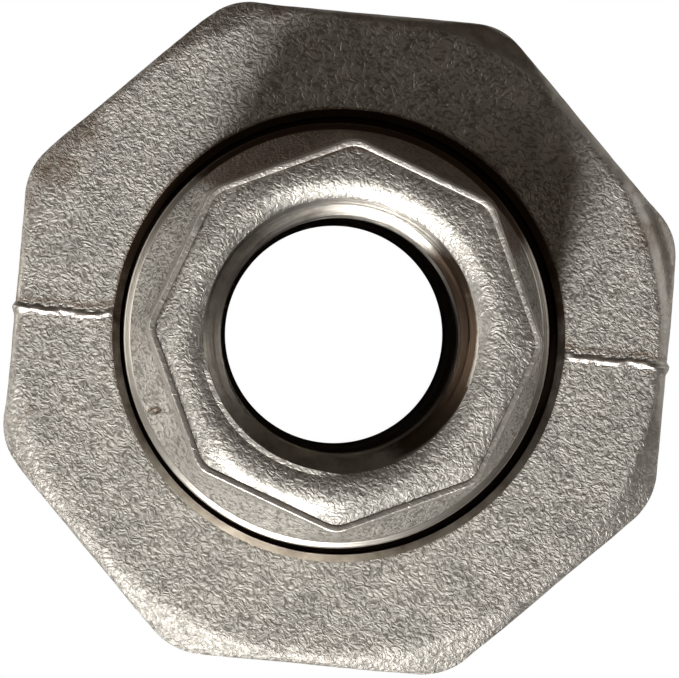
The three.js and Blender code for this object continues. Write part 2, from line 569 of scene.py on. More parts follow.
def ring_mesh(name, angles, rows, materials, relief=None):
    """A closed ring-shaped piece from its rows, which go once round its section. `relief` takes the places
    and the angles, and gives how far the cast skin stands out there, how rubbed it is, and how much stain
    and painted shade lies on it."""
    count, across = rows.radius.shape
    places = np.stack(
        [rows.radius * np.cos(angles), rows.radius * np.sin(angles), rows.height], axis=-1
    )
    along = np.roll(places, -1, axis=0) - np.roll(places, 1, axis=0)
    around = np.empty_like(places)
    around[:, 1:-1] = places[:, 2:] - places[:, :-2]
    around[:, 0] = around[:, -1] = places[:, 1] - places[:, -2]
    normal = np.cross(around, along)
    normal /= np.maximum(np.linalg.norm(normal, axis=-1, keepdims=True), 1e-15)
    profile = np.stack([rows.radius[:, 0], rows.height[:, 0]], axis=-1)
    ahead = np.roll(profile, -1, axis=0)
    area = np.sum(profile[:, 0] * ahead[:, 1] - ahead[:, 0] * profile[:, 1])
    normal *= math.copysign(1, area)
    cast = (rows.finish == CAST) & (np.roll(rows.finish, 1) == CAST)
    amount = np.repeat(np.where(cast, 1 - 0.5 * rows.rubbed, 0), across)
    moved = skin_swell(places.reshape(-1, 3), amount).reshape(count, across)
    rubbed = np.repeat(rows.rubbed[:, None], across, axis=1)
    stain_and_shade = np.repeat(rows.stain_and_shade[:, None], across, axis=1)
    if relief:
        raised, smoother, more_stain_and_shade = relief(places, angles)
        moved = moved + raised * cast[:, None]
        rubbed = np.maximum(rubbed, smoother)
        stain_and_shade = np.maximum(stain_and_shade, more_stain_and_shade)
    places = places + normal * moved[..., None]
    places[..., 0] += rows.shift[:, None]

    grid = np.arange(count * across).reshape(count, across)
    below, above = grid, np.roll(grid, -1, axis=0)
    faces = np.stack([below[:, :-1], below[:, 1:], above[:, 1:], above[:, :-1]], axis=-1)
    mesh = bpy.data.meshes.new(name)
    mesh.from_pydata(places.reshape(-1, 3).tolist(), [], faces.reshape(-1, 4).tolist())
    mesh.polygons.foreach_set("material_index", np.repeat(rows.finish, across - 1).astype(np.int32))
    for attribute, values in (("rubbed", rubbed), ("stain_and_shade", stain_and_shade)):
        layer = mesh.attributes.new(attribute, "FLOAT", "POINT")
        layer.data.foreach_set("value", values.ravel().astype(np.float32))
    cleaner = bmesh.new()
    cleaner.from_mesh(mesh)
    bmesh.ops.remove_doubles(cleaner, verts=cleaner.verts, dist=WELD)
    bmesh.ops.recalc_face_normals(cleaner, faces=cleaner.faces)
    loose = [e for e in cleaner.edges if len(e.link_faces) != 2]
    if loose:
        raise RuntimeError(f"{name} isn't closed: {len(loose)} edges don't join two faces")
    cleaner.to_mesh(mesh)
    cleaner.free()
    mesh.polygons.foreach_set("use_smooth", np.ones(len(mesh.polygons), bool))
    mesh.set_sharp_from_angle(angle=SHARP)
    for material in materials:
        mesh.materials.append(material)
    piece = bpy.data.objects.new(name, mesh)
    bpy.context.scene.collection.objects.link(piece)
    return piece


# ---------------------------------------------------------------- materials


def add_node(tree, kind, links=None, **settings):
    """Adds a node. A setting is one of its properties, or else one of its sockets, named with its spaces as
    underscores or by i and a number. A link is from a node's first output, or from (node, output)."""
    made = tree.nodes.new(kind)

    def socket(key):
        numbered = key[0] == "i" and key[1:].isdigit()
        return made.inputs[int(key[1:]) if numbered else key.replace("_", " ")]

    for key, value in settings.items():
        if hasattr(made, key):
            setattr(made, key, value)
        else:
            socket(key).default_value = value
    for key, source in (links or {}).items():
        source, output = source if isinstance(source, tuple) else (source, 0)
        tree.links.new(source.outputs[output], socket(key))
    return made


def new_material(name):
    """An empty material with its surface shader and output joined."""
    material = bpy.data.materials.new(name)
    material.use_nodes = True
    tree = material.node_tree
    tree.nodes.clear()
    surface = add_node(tree, "ShaderNodeBsdfPrincipled")
    add_node(tree, "ShaderNodeOutputMaterial", {"Surface": surface})
    return material, tree, surface


def millimetres(tree, **settings):
    """The piece's own coordinates in millimetres, turned and stretched as the settings say."""
    place = add_node(tree, "ShaderNodeTexCoord")
    scaled = add_node(tree, "ShaderNodeVectorMath", {"i0": (place, "Object")}, operation="SCALE")
    scaled.inputs["Scale"].default_value = 1 / MM
    return add_node(tree, "ShaderNodeMapping", {"Vector": scaled}, **settings) if settings else scaled


def shot_blasted_iron(finishes):
    """Malleable iron as it left the sand, shot blasted: a crust of small pebbles with dirt and painted shade
    in the creases between them. It looks dull and breaks up the light, is smoother and brighter where it has
    been rubbed, and brown where stain and painted shade lie."""
    material, tree, surface = new_material("shot_blasted_iron")
    plain = millimetres(tree)
    drift = add_node(tree, "ShaderNodeTexNoise", {"Vector": plain}, Scale=0.9, Detail=2.0)
    centred = add_node(
        tree, "ShaderNodeVectorMath", {"i0": (drift, "Color")}, operation="SUBTRACT", i1=(0.5,) * 3
    )
    shove = add_node(tree, "ShaderNodeVectorMath", {"i0": centred}, operation="SCALE")
    shove.inputs["Scale"].default_value = 1.1
    warped = add_node(tree, "ShaderNodeVectorMath", {"i0": plain, "i1": shove}, operation="ADD")
    leaned = add_node(
        tree,
        "ShaderNodeMapping",
        {"Vector": warped},
        vector_type="TEXTURE",
        Rotation=(0, 0, math.radians(-32)),
        Scale=(1.4, 1.0, 1.0),
    )
    per_mm = MM / finishes.grain
    cells = add_node(
        tree,
        "ShaderNodeTexVoronoi",
        {"Vector": leaned},
        feature="DISTANCE_TO_EDGE",
        Scale=per_mm,
        Randomness=1.0,
    )
    dome = add_node(
        tree,
        "ShaderNodeMapRange",
        {"Value": cells},
        interpolation_type="SMOOTHSTEP",
        From_Max=0.4,
        To_Max=0.5,
    )
    pebble = add_node(
        tree, "ShaderNodeTexNoise", {"Vector": leaned}, Scale=1.1 * per_mm, Detail=3.0, Roughness=0.6
    )
    swell = add_node(tree, "ShaderNodeTexNoise", {"Vector": plain}, Scale=0.35, Detail=2.0)
    rubbed = add_node(tree, "ShaderNodeAttribute", attribute_name="rubbed")
    stain_and_shade = add_node(tree, "ShaderNodeAttribute", attribute_name="stain_and_shade")

    # Pebbles with the sand's own grain on them make the height, and rubbing nearly takes it away.
    mixed = add_node(
        tree, "ShaderNodeMath", {"i0": pebble, "i2": dome}, operation="MULTIPLY_ADD", i1=2.6
    )
    keep = add_node(tree, "ShaderNodeMapRange", {"Value": (rubbed, "Fac")}, To_Min=1.0, To_Max=0.12)
    height = add_node(tree, "ShaderNodeMath", {"i0": mixed, "i1": keep}, operation="MULTIPLY")
    bump = add_node(tree, "ShaderNodeBump", {"Height": height}, Distance=finishes.grain_depth)

    # Dirt and painted shade in the creases, lighter and darker patches, and brown for stain and painted
    # shade.
    crest = add_node(
        tree,
        "ShaderNodeMapRange",
        {"Value": mixed},
        interpolation_type="SMOOTHSTEP",
        From_Min=1.0,
        From_Max=1.6,
    )
    clean = add_node(tree, "ShaderNodeMath", {"i0": crest, "i1": (rubbed, "Fac")}, operation="MAXIMUM")
    base = add_node(
        tree,
        "ShaderNodeMix",
        {"Factor": clean},
        data_type="RGBA",
        i6=finishes.crease,
        i7=finishes.iron,
    )
    patch = add_node(
        tree, "ShaderNodeMapRange", {"Value": swell}, From_Min=0.3, From_Max=0.7, To_Min=0.86, To_Max=1.1
    )
    toned = add_node(
        tree, "ShaderNodeVectorMath", {"i0": (base, 2), "Scale": patch}, operation="SCALE"
    )
    blotch = add_node(tree, "ShaderNodeTexNoise", {"Vector": plain}, Scale=0.55, Detail=4.0, Roughness=0.65)
    spread = add_node(
        tree, "ShaderNodeMath", {"i0": blotch, "i1": (stain_and_shade, "Fac")}, operation="ADD", use_clamp=True
    )
    stain_and_shade_amount = add_node(
        tree,
        "ShaderNodeMapRange",
        {"Value": spread},
        interpolation_type="SMOOTHSTEP",
        From_Min=0.62,
        From_Max=1.15,
        To_Max=0.85,
    )
    colour = add_node(
        tree,
        "ShaderNodeMix",
        {"Factor": stain_and_shade_amount, "i6": toned},
        data_type="RGBA",
        i7=finishes.stain_and_shade,
    )
    dull = add_node(
        tree, "ShaderNodeMapRange", {"Value": (rubbed, "Fac")}, To_Min=0.6, To_Max=0.38
    )
    rough = add_node(
        tree, "ShaderNodeMath", {"i0": pebble, "i2": dull}, operation="MULTIPLY_ADD", i1=0.1
    )
    tree.links.new(colour.outputs[2], surface.inputs["Base Color"])
    tree.links.new(rough.outputs[0], surface.inputs["Roughness"])
    tree.links.new(bump.outputs[0], surface.inputs["Normal"])
    surface.inputs["Metallic"].default_value = 1.0
    return material


def turned_iron(finishes):
    """Iron cut on a lathe and a little oily: fine rings round the axis that draw the light out into arcs,
    with brown patches where the oil has dried, and dark painted shade where the turned faces lie in the gaps
    round the nut's hole and the tail's barrel."""
    material, tree, surface = new_material("turned_iron")
    plain = millimetres(tree)
    part = add_node(tree, "ShaderNodeSeparateXYZ", {"Vector": plain})
    flat = add_node(tree, "ShaderNodeCombineXYZ", {"X": (part, "X"), "Y": (part, "Y")})
    radius = add_node(tree, "ShaderNodeVectorMath", {"i0": flat}, operation="LENGTH")
    rings = add_node(tree, "ShaderNodeCombineXYZ", {"X": (radius, "Value"), "Y": (part, "Z")})
    marks = add_node(tree, "ShaderNodeTexNoise", {"Vector": rings}, Scale=5.0, Detail=4.0, Roughness=0.7)
    bump = add_node(tree, "ShaderNodeBump", {"Height": marks}, Distance=0.03 * MM)
    blotch = add_node(tree, "ShaderNodeTexNoise", {"Vector": plain}, Scale=0.5, Detail=4.0, Roughness=0.65)
    stain_and_shade = add_node(tree, "ShaderNodeAttribute", attribute_name="stain_and_shade")
    spread = add_node(tree, "ShaderNodeMath", {"i0": blotch, "i1": (stain_and_shade, "Fac")}, operation="ADD")
    oil_and_shade = add_node(
        tree,
        "ShaderNodeMapRange",
        {"Value": spread},
        interpolation_type="SMOOTHSTEP",
        From_Min=0.45,
        From_Max=1.2,
        To_Min=0.05,
    )
    colour = add_node(
        tree, "ShaderNodeMix", {"Factor": oil_and_shade}, data_type="RGBA", i6=finishes.bright, i7=finishes.oil
    )
    rough = add_node(tree, "ShaderNodeMapRange", {"Value": marks}, To_Min=0.28, To_Max=0.46)
    tree.links.new(colour.outputs[2], surface.inputs["Base Color"])
    tree.links.new(rough.outputs[0], surface.inputs["Roughness"])
    tree.links.new(bump.outputs[0], surface.inputs["Normal"])
    surface.inputs["Metallic"].default_value = 1.0
    return material


def moulded_rubber(finishes):
    """Black nitrile rubber from a mould: a soft even sheen, with a faint bloom."""
    material, tree, surface = new_material("moulded_rubber")
    plain = millimetres(tree)
    bloom = add_node(tree, "ShaderNodeTexNoise", {"Vector": plain}, Scale=1.2, Detail=4.0)
    grit = add_node(tree, "ShaderNodeTexNoise", {"Vector": plain}, Scale=9.0, Detail=2.0)
    bump = add_node(tree, "ShaderNodeBump", {"Height": grit}, Distance=0.012 * MM)
    pale = [channel * 2.2 for channel in finishes.rubber[:3]] + [1.0]
    colour = add_node(
        tree, "ShaderNodeMix", {"Factor": bloom}, data_type="RGBA", i6=finishes.rubber, i7=pale
    )
    rough = add_node(tree, "ShaderNodeMapRange", {"Value": bloom}, To_Min=0.5, To_Max=0.72)
    tree.links.new(colour.outputs[2], surface.inputs["Base Color"])
    tree.links.new(rough.outputs[0], surface.inputs["Roughness"])
    tree.links.new(bump.outputs[0], surface.inputs["Normal"])
    return material


def material_for(make, finishes):
    """The material that a function makes, made if it isn't there yet."""
    return bpy.data.materials.get(make.__name__) or make(finishes)


def casting_materials(finishes):
    """A casting's two materials, in the order of the finishes."""
    return [material_for(make, finishes) for make in (shot_blasted_iron, turned_iron)]


# ---------------------------------------------------------------- the pieces


def pipe_end(hub, threads, end, up, bearing, angles, shape):
    """Rows of a casting's pipe end, from the passage out over the end face to the round barrel. The end
    face is at height `end`, `up` is 1 where it faces up and -1 where it faces down, and `bearing` is how
    far the thread is turned."""
    minor = threads.pipe_major - DEPTH_PER_PITCH * threads.pipe_pitch
    lip_depth = 0.62 * MM
    sink_slope = 1.2
    joint = 0.02 * MM  # between bands that meet, so that no row lies on another

    def at(depth):
        return end - up * depth

    def countersunk(radius, height):
        depth = (end - height) * up
        return np.maximum(radius, hub.lip_radius - sink_slope * (depth - lip_depth))

    zone = sorted((at(threads.pipe_length), at(lip_depth + joint)))
    phase = end - threads.pipe_pitch * bearing / TURN
    fade = (at(threads.pipe_length - 1.2 * MM), at(threads.pipe_length))
    thread = thread_band(
        angles, *zone, threads.pipe_pitch, phase, minor, countersunk, fade, rise=up
    )
    relief = hub.passage - minor
    inside = band(
        [
            Corner(hub.passage, at(threads.pipe_length + 3 * MM), finish=CAST, stain_and_shade=0.5),
            Corner(hub.passage, at(threads.pipe_length + relief + 0.6 * MM), finish=TURNED),
            Corner(minor, at(threads.pipe_length + joint), finish=TURNED),
        ],
        angles,
        shape,
        1.2 * MM,
    )

    # The bead: one arc inwards to the lip, and a tighter one outwards to the groove.
    crest, inner_arc, outer_arc = hub.bead_radius, 2.5 * MM, 2.2 * MM
    groove = hub.apothem - 0.27 * MM
    bead = []
    for r in np.linspace(hub.lip_radius + 0.05 * MM, crest, 9):
        drop = inner_arc - math.sqrt(inner_arc**2 - (crest - r) ** 2)
        bead.append(Corner(r, at(drop), rubbed=0.1 + 0.25 * (crest - r) / (crest - hub.lip_radius)))
    bead.insert(0, Corner(hub.lip_radius, at(lip_depth), rubbed=0.5))
    for t in np.linspace(0, 1, 9)[1:]:
        out = t * (groove - crest)
        drop = outer_arc - math.sqrt(outer_arc**2 - out**2)
        bead.append(
            Corner(crest + out, at(drop), octagon=t * t, rubbed=0.1 + 0.2 * t, shift=t * hub.slip)
        )
    barrel, barrel_top = hub.barrel, hub.foot + hub.flare
    foot = hub.apothem + 0.15 * MM + math.tan(hub.draft) * hub.foot

    # The ridge round the end face, the leaning flats, and the flare down to the barrel.
    rim = [
        # The small stain here is painted shade in the groove at the foot of the ridge
        Corner(groove + 0.03 * MM, at(0.52 * MM), 0, 1, rubbed=0.6, stain_and_shade=0.15, shift=hub.slip),
        Corner(hub.apothem - 0.25 * MM, at(0.37 * MM), 0.1 * MM, 1, rubbed=0.85, shift=hub.slip),
        Corner(hub.apothem + 0.27 * MM, at(0.3 * MM), 0.15 * MM, 1, rubbed=0.85, shift=hub.slip),
        Corner(hub.apothem + 0.3 * MM, at(1.2 * MM), 0, 1, rubbed=0.15, stain_and_shade=0.1, shift=hub.slip),
        Corner(foot, at(hub.foot), 1.4 * MM, 1, rubbed=0.0, stain_and_shade=0.1, shift=hub.slip),
        Corner(barrel - 0.5 * MM, at(barrel_top - 0.24 * MM), 0.3 * MM, 0, TURNED, shift=hub.barrel_slip),
        Corner(barrel, at(barrel_top), 0.25 * MM, 0, TURNED, shift=hub.barrel_slip),
    ]
    after = Corner(barrel, at(barrel_top + 2 * MM), finish=TURNED)
    outside = band(bead + rim, angles, shape, 0.32 * MM, last=after)
    return [inside, thread, outside]


def tail_wear(hub, shape, top):
    """What has happened to the tail's skin: handling has rubbed the bead, oil has dried in the countersink,
    a burr stands on the lip, and the shoulder has a pit. Painted shade with some grime darkens the flats and
    the groove on the side away from the key light."""
    pit_x, pit_y, pit_length, pit_width = -14.7, -5.9, 0.5, 0.26
    lip = hub.lip_radius / MM

    def relief(places, angles):
        reach = np.hypot(places[..., 0], places[..., 1]) / MM
        groove = (shape * (hub.apothem - 0.27 * MM) + hub.slip * np.cos(angles)) / MM
        depth = (top - places[..., 2]) / MM
        end_face = depth < 1.1
        outer = ramp(reach, 12.7, 13.1) * ramp(reach, 14.1, 13.9) * facing(angles, 244, 32)
        inner = ramp(reach, 12.2, 11.6) * facing(angles, 60, 72)
        worn = 0.75 * end_face * (outer + inner)
        burr = end_face * ramp(np.abs(reach - lip - 0.08), 0.128, 0.048) * facing(angles, 228, 44)
        oil = (reach < 10.6) * (depth < 6) * (0.15 + 0.65 * facing(angles, -12, 58))
        flats = ramp(depth, 0.5, 0.7) * (depth < 12) * (reach > 13.6)
        # Painted shade with some grime on the flats away from the key light
        shade_and_grime = 0.85 * flats * facing(angles, 78, 58)
        # and painted shade in the groove round the end face, on the same side
        crease = np.exp(-(((reach - groove) / 0.16) ** 2)) * (depth > 0.45) * (depth < 0.9)
        shade_and_grime = np.maximum(shade_and_grime, 0.8 * crease * facing(angles, 70, 80))
        from_pit = np.hypot(
            (places[..., 0] / MM - pit_x) / pit_length, (places[..., 1] / MM - pit_y) / pit_width
        )
        pit = np.exp(-(from_pit**6)) * (depth > 3) * (depth < 12)
        raised = 0.3 * MM * (burr - pit)
        rubbed = np.maximum.reduce([worn, burr, pit])
        return raised, rubbed, np.maximum.reduce([oil, 0.8 * pit, shade_and_grime])

    return relief


class UNION_OT_cast_tail(bpy.types.Operator):
    """Casts the tail: octagonal hub, turned barrel and the collar that the nut pulls on"""

    bl_idname = "union.cast_tail"
    bl_label = "Tail"

    def execute(self, context):
        hub, threads = context.scene.union_hub, context.scene.union_threads
        bearing = hub.tail_bearing
        angles = columns(432)
        shape = rounded_octagon(angles - bearing, hub.apothem, hub.corner) / hub.apothem
        top, seat = TAIL_HIGH.z, TAIL_LOW.z
        barrel_top = top - hub.foot - hub.flare
        shoulder = seat + hub.collar_thickness
        rows = pipe_end(hub, threads, top, 1, bearing, angles, shape)
        rows.append(
            band(
                [
                    Corner(hub.barrel, barrel_top - 0.8 * MM, finish=TURNED, shift=hub.barrel_slip),
                    # The barrel is painted darker down into the nut: painted shade in the gap between them
                    Corner(hub.barrel, shoulder + 1 * MM, finish=TURNED, stain_and_shade=1.2),
                    Corner(hub.barrel, shoulder, 0.3 * MM, finish=TURNED, stain_and_shade=1.2),
                    Corner(hub.collar, shoulder, 0.25 * MM, finish=TURNED, stain_and_shade=0.3),
                    Corner(hub.collar, seat, 0.25 * MM, finish=TURNED),
                    Corner(hub.passage, seat, 0.15 * MM, finish=CAST, stain_and_shade=0.5),
                ],
                angles,
                shape,
                0.9 * MM,
                last=Corner(hub.passage, seat + 2 * MM),
            )
        )
        materials = casting_materials(context.scene.union_finishes)
        piece = ring_mesh("tail_casting", angles, joined(rows), materials, tail_wear(hub, shape, top))
        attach(piece, "tail")
        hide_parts("tail_piece")
        return {"FINISHED"}


class UNION_OT_cast_head(bpy.types.Operator):
    """Casts the head: octagonal hub below, and the male union thread with its seat above"""

    bl_idname = "union.cast_head"
    bl_label = "Head"

    def execute(self, context):
        hub, threads = context.scene.union_hub, context.scene.union_threads
        angles = columns(360)
        shape = rounded_octagon(angles, hub.apothem, hub.corner) / hub.apothem
        base, seat = HEAD_LOW.z, HEAD_HIGH.z
        root = threads.union_major - threads.clearance - DEPTH_PER_PITCH * threads.union_pitch
        start = seat - threads.union_length
        barrel_foot = base + hub.foot + hub.flare
        barrel_end = barrel_foot + 2 * MM
        fade = (start + 0.9 * MM, start)
        joint = 0.02 * MM

        def pointed(radius, height):
            return np.minimum(radius, root + (seat - height))

        rows = pipe_end(hub, threads, base, -1, 0, angles, shape)
        rows.append(
            band(
                [
                    Corner(hub.barrel, barrel_foot + 0.8 * MM, shift=hub.barrel_slip),
                    Corner(hub.barrel, barrel_end, 1.5 * MM),
                    Corner(root, barrel_end + hub.cone, 0.8 * MM, finish=TURNED),
                    Corner(root, start - joint, finish=TURNED),
                ],
                angles,
                shape,
                0.5 * MM,
            )
        )
        rows.append(
            thread_band(angles, start, seat - joint, threads.union_pitch, 0, root, pointed, fade)
        )
        rows.append(
            band(
                [
                    Corner(root, seat, finish=TURNED),
                    Corner(hub.passage, seat, 0.15 * MM, finish=CAST, stain_and_shade=0.5),
                ],
                angles,
                shape,
                1.2 * MM,
                last=Corner(hub.passage, seat - 2 * MM),
            )
        )
        materials = casting_materials(context.scene.union_finishes)
        piece = ring_mesh("head_casting", angles, joined(rows), materials)
        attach(piece, "head")
        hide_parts("head_piece")
        return {"FINISHED"}


def right_side(angles):
    """1 for the columns on the side where the nut's edge has been knocked, falling to 0 away from it."""
    return np.clip(1.6 * np.cos(angles - math.radians(28)) - 0.7, 0, 1)


def nut_outline(nut, angles):
    """Distance from the axis to the nut's side, with each flat as far out as its casting error says."""
    place = (angles - nut.bearing) / (TURN / 8)
    nearest = np.round(place).astype(int)
    beyond = nearest + np.sign(place - nearest).astype(int)
    share = np.clip((np.abs(place - nearest) - 0.36) / 0.28, 0, 0.5)
    errors = np.array(nut.flat_errors)
    error = (1 - share) * errors[nearest % 8] + share * errors[beyond % 8]
    return rounded_octagon(angles - nut.bearing, nut.apothem, nut.corner) * (1 + error / nut.apothem)


def nut_wear(nut, face_edge, trimmed, top):
    """What stands out of the nut's skin, and what has happened to it: a ragged fin where the two halves of
    the mould met, edges that tumbling has rubbed, most on the flats, and dirt in spots. Painted shade lies
    in a band beside each fin on its upper side, away from the key light, and with a little grime round the
    mouth of the hole, darkest at the top; dirt and painted shade lie along the face's edge, darkest at the
    top. `face_edge` is the distance to the edge of the face by column, and `trimmed` is 0 in the columns
    where the turned chamfers have cut the corners back and 1 in the others."""
    spots = (  # x, y, radius and strength
        (-22.6, 13.2, 3.0, 0.45),
        (-20.0, 16.5, 3.0, 0.4),
        (24.4, 8.0, 2.4, 0.45),
        (-24.4, -5.8, 0.9, 0.5),
    )
    width = nut.flash_width / MM
    mouth = (nut.hole + nut.chamfer) / MM

    def relief(places, angles):
        reach = np.hypot(places[..., 0], places[..., 1]) / MM
        depth = (top - places[..., 2]) / MM
        inside = face_edge[None, :] / MM - reach
        fin, dirt_and_shade = np.zeros(reach.shape), np.zeros(reach.shape)
        for side, turn in ((1, 0), (-1, math.pi)):
            off = wrapped(angles - nut.bearing - turn)[None, :] * reach
            close = np.nonzero(np.abs(off) < 2 * width)
            ragged = np.zeros(reach.shape)
            ragged[close] = [0.7 * noise.noise(Vector(p) * 1.9 / MM) for p in places[close]]
            sway = [0.35 * noise.noise(Vector((0.45 * r, turn, 0.5))) for r in reach[:, 0]]
            off = off + np.array(sway)[:, None]
            across = np.clip(1 - 2 * np.abs(off) / (width * (1 + ragged)), 0, 1)
            fin = np.maximum(fin, np.minimum(across / 0.8, 1) * (1 + ragged))
            # A dark band painted beside each fin on its upper side, away from the key light: the fin's
            # painted shadow
            dirt_and_shade = np.maximum(dirt_and_shade, 0.5 * ramp(np.abs(side * off - 0.75), 0.45, 0))
        # Dirt and painted shade along the face's edge, darkest at the top, away from the key light
        upper = 0.5 + 0.5 * np.cos(angles - math.radians(100))
        dirt_and_shade = np.maximum(dirt_and_shade, 0.38 * ramp(inside, 1.3, 0) * upper[None, :])
        for x, y, radius, strength in spots:
            away = np.hypot(places[..., 0] / MM - x, places[..., 1] / MM - y)
            dirt_and_shade = np.maximum(dirt_and_shade, strength * ramp(away, radius, 0.286 * radius))
        dirt_and_shade *= ramp(depth, 4.2, 1.2)
        # Round the mouth of the hole: a little grime all round, and painted shade that darkens to the top,
        # away from the key light
        shade_and_grime = 0.15 + 0.75 * np.clip(0.5 + 0.7 * np.sin(angles), 0, 1)
        dirt_and_shade = np.maximum(dirt_and_shade, shade_and_grime[None, :] * (reach < mouth + 0.05) * (depth < 0.25))
        rounding = ramp(depth, 0, 0.12) * (depth < 1.5 * nut.edge / MM) * (reach > 20)
        knocked = ramp(inside, 0.9, 0.7) * ramp(depth, 2.2, 1.2) * np.minimum(1, 2 * right_side(angles))
        edges = (0.3 + 0.55 * trimmed[None, :]) * rounding
        return fin * nut.flash_height, np.maximum.reduce([np.minimum(1, 3 * fin), edges, knocked]), dirt_and_shade

    return relief


class UNION_OT_cast_nut(bpy.types.Operator):
    """Casts the octagonal nut: turned corners, a chamfered hole, the female thread and the parting flash"""

    bl_idname = "union.cast_nut"
    bl_label = "Nut"

    def execute(self, context):
        nut, threads = context.scene.union_nut, context.scene.union_threads
        fine = np.arange(-6, 7) * 0.08 * MM / ((nut.apothem + nut.hole) / 2)
        angles = columns(520, [nut.bearing + turn + f for turn in (0, math.pi) for f in fine])
        outline = nut_outline(nut, angles)
        low, high = NUT_LOW.z, NUT_HIGH.z
        trim = nut.apothem / math.cos(TURN / 16) - nut.trim
        steep = 1 / math.tan(math.radians(30))
        blend = 0.25 * MM

        def side(height):
            """The outside at a height: the octagon, cut back by the turned chamfers."""
            cone = trim + steep * np.minimum(high - height, height - low)
            both = np.maximum(blend - np.abs(outline - cone), 0) / blend
            return np.minimum(outline, cone) - both**2 * blend / 4

        def shelf(radii, heights, rubbed, stain_and_shade, finish=CAST):
            """Rows that are given as radii by column, one height each."""
            count = len(heights)
            none = np.zeros(count)
            heights = np.array(heights)[:, None] + 0 * angles[None, :]
            return Band(
                np.array(radii), heights, np.full(count, finish), rubbed + none, stain_and_shade + none, none
            )

        edge = nut.edge
        mouth = nut.hole + nut.chamfer
        chamfer_foot = high - nut.chamfer_depth
        bore = threads.union_major + threads.clearance
        minor = threads.union_major - DEPTH_PER_PITCH * threads.union_pitch
        skirt = high - nut.lip
        thread_end = skirt - nut.relief
        joint = 0.02 * MM

        def flared(radius, height):
            return np.maximum(radius, bore - (height - low))

        over, under = side(high) - edge, side(low) - edge
        top = [mouth + (over - mouth) * t for t in np.linspace(0, 1, 27)[:-1]]
        bends = np.linspace(0, math.pi / 2, 7)
        top_bend = high - edge * (1 - np.cos(bends))
        bottom_bend = low + edge * (1 - np.sin(bends))
        top_edge = [side(z) - edge * (1 - math.sin(b)) for z, b in zip(top_bend, bends)]
        bottom_edge = [side(z) - edge * (1 - math.cos(b)) for z, b in zip(bottom_bend, bends)]
        levels = np.linspace(high - edge, low + edge, 46)[1:-1]
        bottom = [under + (bore - under) * t for t in np.linspace(0, 1, 9)[1:]]
        rows = [
            shelf(top, [high] * len(top), 0.0, 0.0),
            shelf(top_edge, top_bend, 0.0, 0.1),
            shelf([side(z) for z in levels], levels, 0.1, 0.05),
            shelf(bottom_edge, bottom_bend, 0.0, 0.1),
            shelf(bottom[:-1], [low] * (len(bottom) - 1), 0.0, 0.1),
            shelf(bottom[-1:], [low], 0.0, 0.3, TURNED),
            thread_band(angles, low + joint, thread_end, threads.union_pitch, 0, minor, flared),
            band(
                [
                    Corner(bore, thread_end + 0.05 * MM, 0, finish=TURNED),
                    Corner(bore, skirt, 0.3 * MM, finish=TURNED),
                    # The wall of the hole is painted nearly black: painted shade in the gap round the tail's
                    # barrel
                    Corner(nut.hole, skirt, 0.2 * MM, finish=TURNED, stain_and_shade=1.2),
                    Corner(nut.hole, chamfer_foot, 0, finish=TURNED, stain_and_shade=1.2),
                    Corner(nut.hole + joint, chamfer_foot + 0.03 * MM, 0.06 * MM, finish=TURNED, stain_and_shade=0.2),
                    Corner(mouth - joint, high - 0.01 * MM, finish=TURNED, stain_and_shade=0.2),
                ],
                angles,
                outline,
                0.7 * MM,
                last=Corner(mouth, high),
            ),
        ]

        # The face falls away to its edge, most on the far side, and where the edge has been knocked.
        skin = joined(rows)
        outside = skin.radius > 20 * MM
        inside = side(high) - skin.radius
        far_side = 0.5 - 0.5 * np.cos(angles - math.radians(85))
        fall = (0.08 + 0.2 * far_side) * ramp(inside, 1.7 * MM, 0) ** 2
        fall = fall + 0.5 * right_side(angles) * ramp(inside, 0.8 * MM, 0)
        fall = fall * outside * ramp(high - skin.height, 6 * MM, 0)
        skin = skin._replace(height=skin.height - fall * MM)
        wear = nut_wear(nut, side(high), ramp(trim - outline, 0, 0.5 * MM), high)
        materials = casting_materials(context.scene.union_finishes)
        piece = ring_mesh("nut_casting", angles, skin, materials, wear)
        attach(piece, "nut")
        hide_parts("union_nut")
        return {"FINISHED"}


class UNION_OT_mould_gasket(bpy.types.Operator):
    """Moulds the flat ring gasket that sits between the two seats"""

    bl_idname = "union.mould_gasket"
    bl_label = "Gasket"

    def execute(self, context):
        angles = columns(160)
        set_back = 1.2 * MM  # from the passage, so that the ring doesn't narrow it
        outer, inner = GASKET_HIGH.x, context.scene.union_hub.passage + set_back
        low, high = GASKET_LOW.z, GASKET_HIGH.z
        middle = (low + high) / 2
        corners = [
            Corner(inner, middle),
            Corner(inner, high, 0.3 * MM),
            Corner(outer, high, 0.3 * MM),
            Corner(outer, low, 0.3 * MM),
            Corner(inner, low, 0.3 * MM),
        ]
        rows = band(corners, angles, np.ones(len(angles)), 0.8 * MM, last=Corner(inner, middle))
        rows = rows._replace(finish=np.full(len(rows.finish), TURNED))
        rubber = material_for(moulded_rubber, context.scene.union_finishes)
        piece = ring_mesh("seal_ring", angles, rows, [rubber, rubber])
        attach(piece, "seal")
        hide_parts("gasket")
        return {"FINISHED"}


# ---------------------------------------------------------------- the stage


def aimed(place, target, up=Vector((0, 1, 0))):
    """The matrix of a camera or a light at a place, looking at a target."""
    back = (place - target).normalized()
    right = up.cross(back).normalized()
    turned = Matrix((right, back.cross(right), back)).transposed()
    return Matrix.Translation(place) @ turned.to_4x4()


